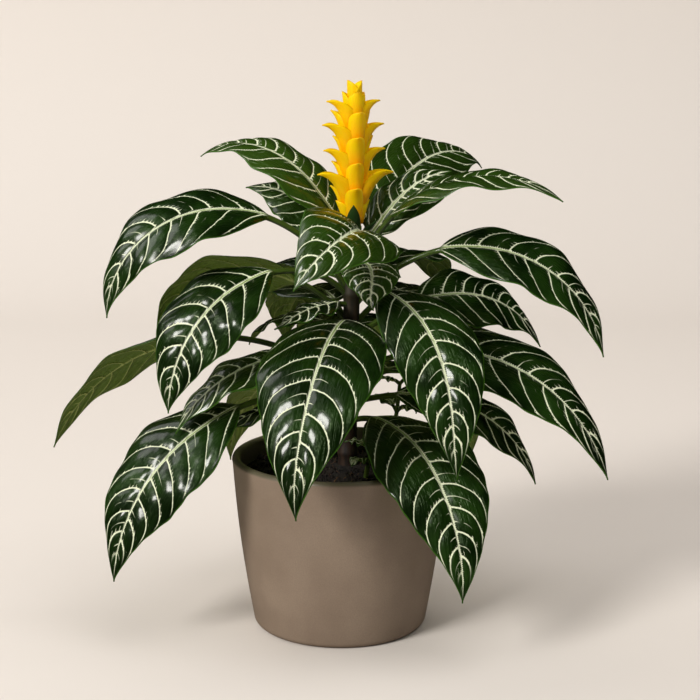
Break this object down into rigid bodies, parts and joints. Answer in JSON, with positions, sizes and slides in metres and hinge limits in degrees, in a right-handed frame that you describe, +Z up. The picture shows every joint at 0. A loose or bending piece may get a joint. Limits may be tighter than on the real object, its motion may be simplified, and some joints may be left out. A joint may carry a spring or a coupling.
{
  "type": "potted aphelandra",
  "caption": "Aphelandra with glossy dark leaves veined in cream and a yellow spike of four-ranked bracts, growing in a tapered matt stoneware pot.",
  "frame": {"origin": "on the axis of the pot, on the flat face that the pot stands on", "axes": "+Z up along the axis of the pot, -Y towards the front of the plant, +X to its right as seen from the front"},
  "size_m": [0.3839, 0.2765, 0.3777],
  "materials": {
    "stoneware": "matt taupe stoneware with fine dark specks and a smoother rounded lip",
    "potting_soil": null,
    "stem_bark": "smooth dark purplish-brown young bark",
    "leaf_blade": "glossy dark green quilted leaf with cream veins and a paler underside; gloss_plastic stands in for leaf",
    "young_leaf": "soft fresh green young leaf; gloss_plastic stands in for leaf",
    "green_bract": "smooth green bract; gloss_plastic stands in for leaf",
    "yellow_bract": "waxy bright yellow bract, orange where shaded; gloss_plastic stands in for petal"
  },
  "bodies": {
    "root": {"pot": "stoneware", "soil": "potting_soil", "stem": "stem_bark", "leaf_left_crown": "leaf_blade", "leaf_left_crown_inner": "leaf_blade", "leaf_left_shoulder": "leaf_blade", "leaf_left_back": "leaf_blade", "leaf_front_crown": "leaf_blade", "leaf_left_middle": "leaf_blade", "leaf_left_far": "leaf_blade", "leaf_left_low": "leaf_blade", "leaf_left_between": "leaf_blade", "leaf_left_small": "leaf_blade", "leaf_front_middle": "leaf_blade", "leaf_front_shadow": "leaf_blade", "leaf_right_middle": "leaf_blade", "leaf_right_low": "leaf_blade", "leaf_right_shoulder": "leaf_blade", "leaf_right_inner": "leaf_blade", "leaf_right_far": "leaf_blade", "leaf_right_small": "leaf_blade", "leaf_right_crown": "leaf_blade", "leaf_right_long": "leaf_blade", "leaf_right_crown_inner": "leaf_blade", "leaf_front_small": "leaf_blade", "leaf_rim": "leaf_blade", "leaf_back_low_left": "leaf_blade", "leaf_back_low_right": "leaf_blade", "leaf_back_middle": "leaf_blade", "leaf_back_left": "leaf_blade", "leaf_back_right": "leaf_blade", "leaf_back_crown_left": "leaf_blade", "leaf_back_crown_right": "leaf_blade", "shoot_right": "young_leaf", "shoot_front": "young_leaf", "green_bracts": "green_bract", "spike": "yellow_bract"}
  },
  "joints": []
}
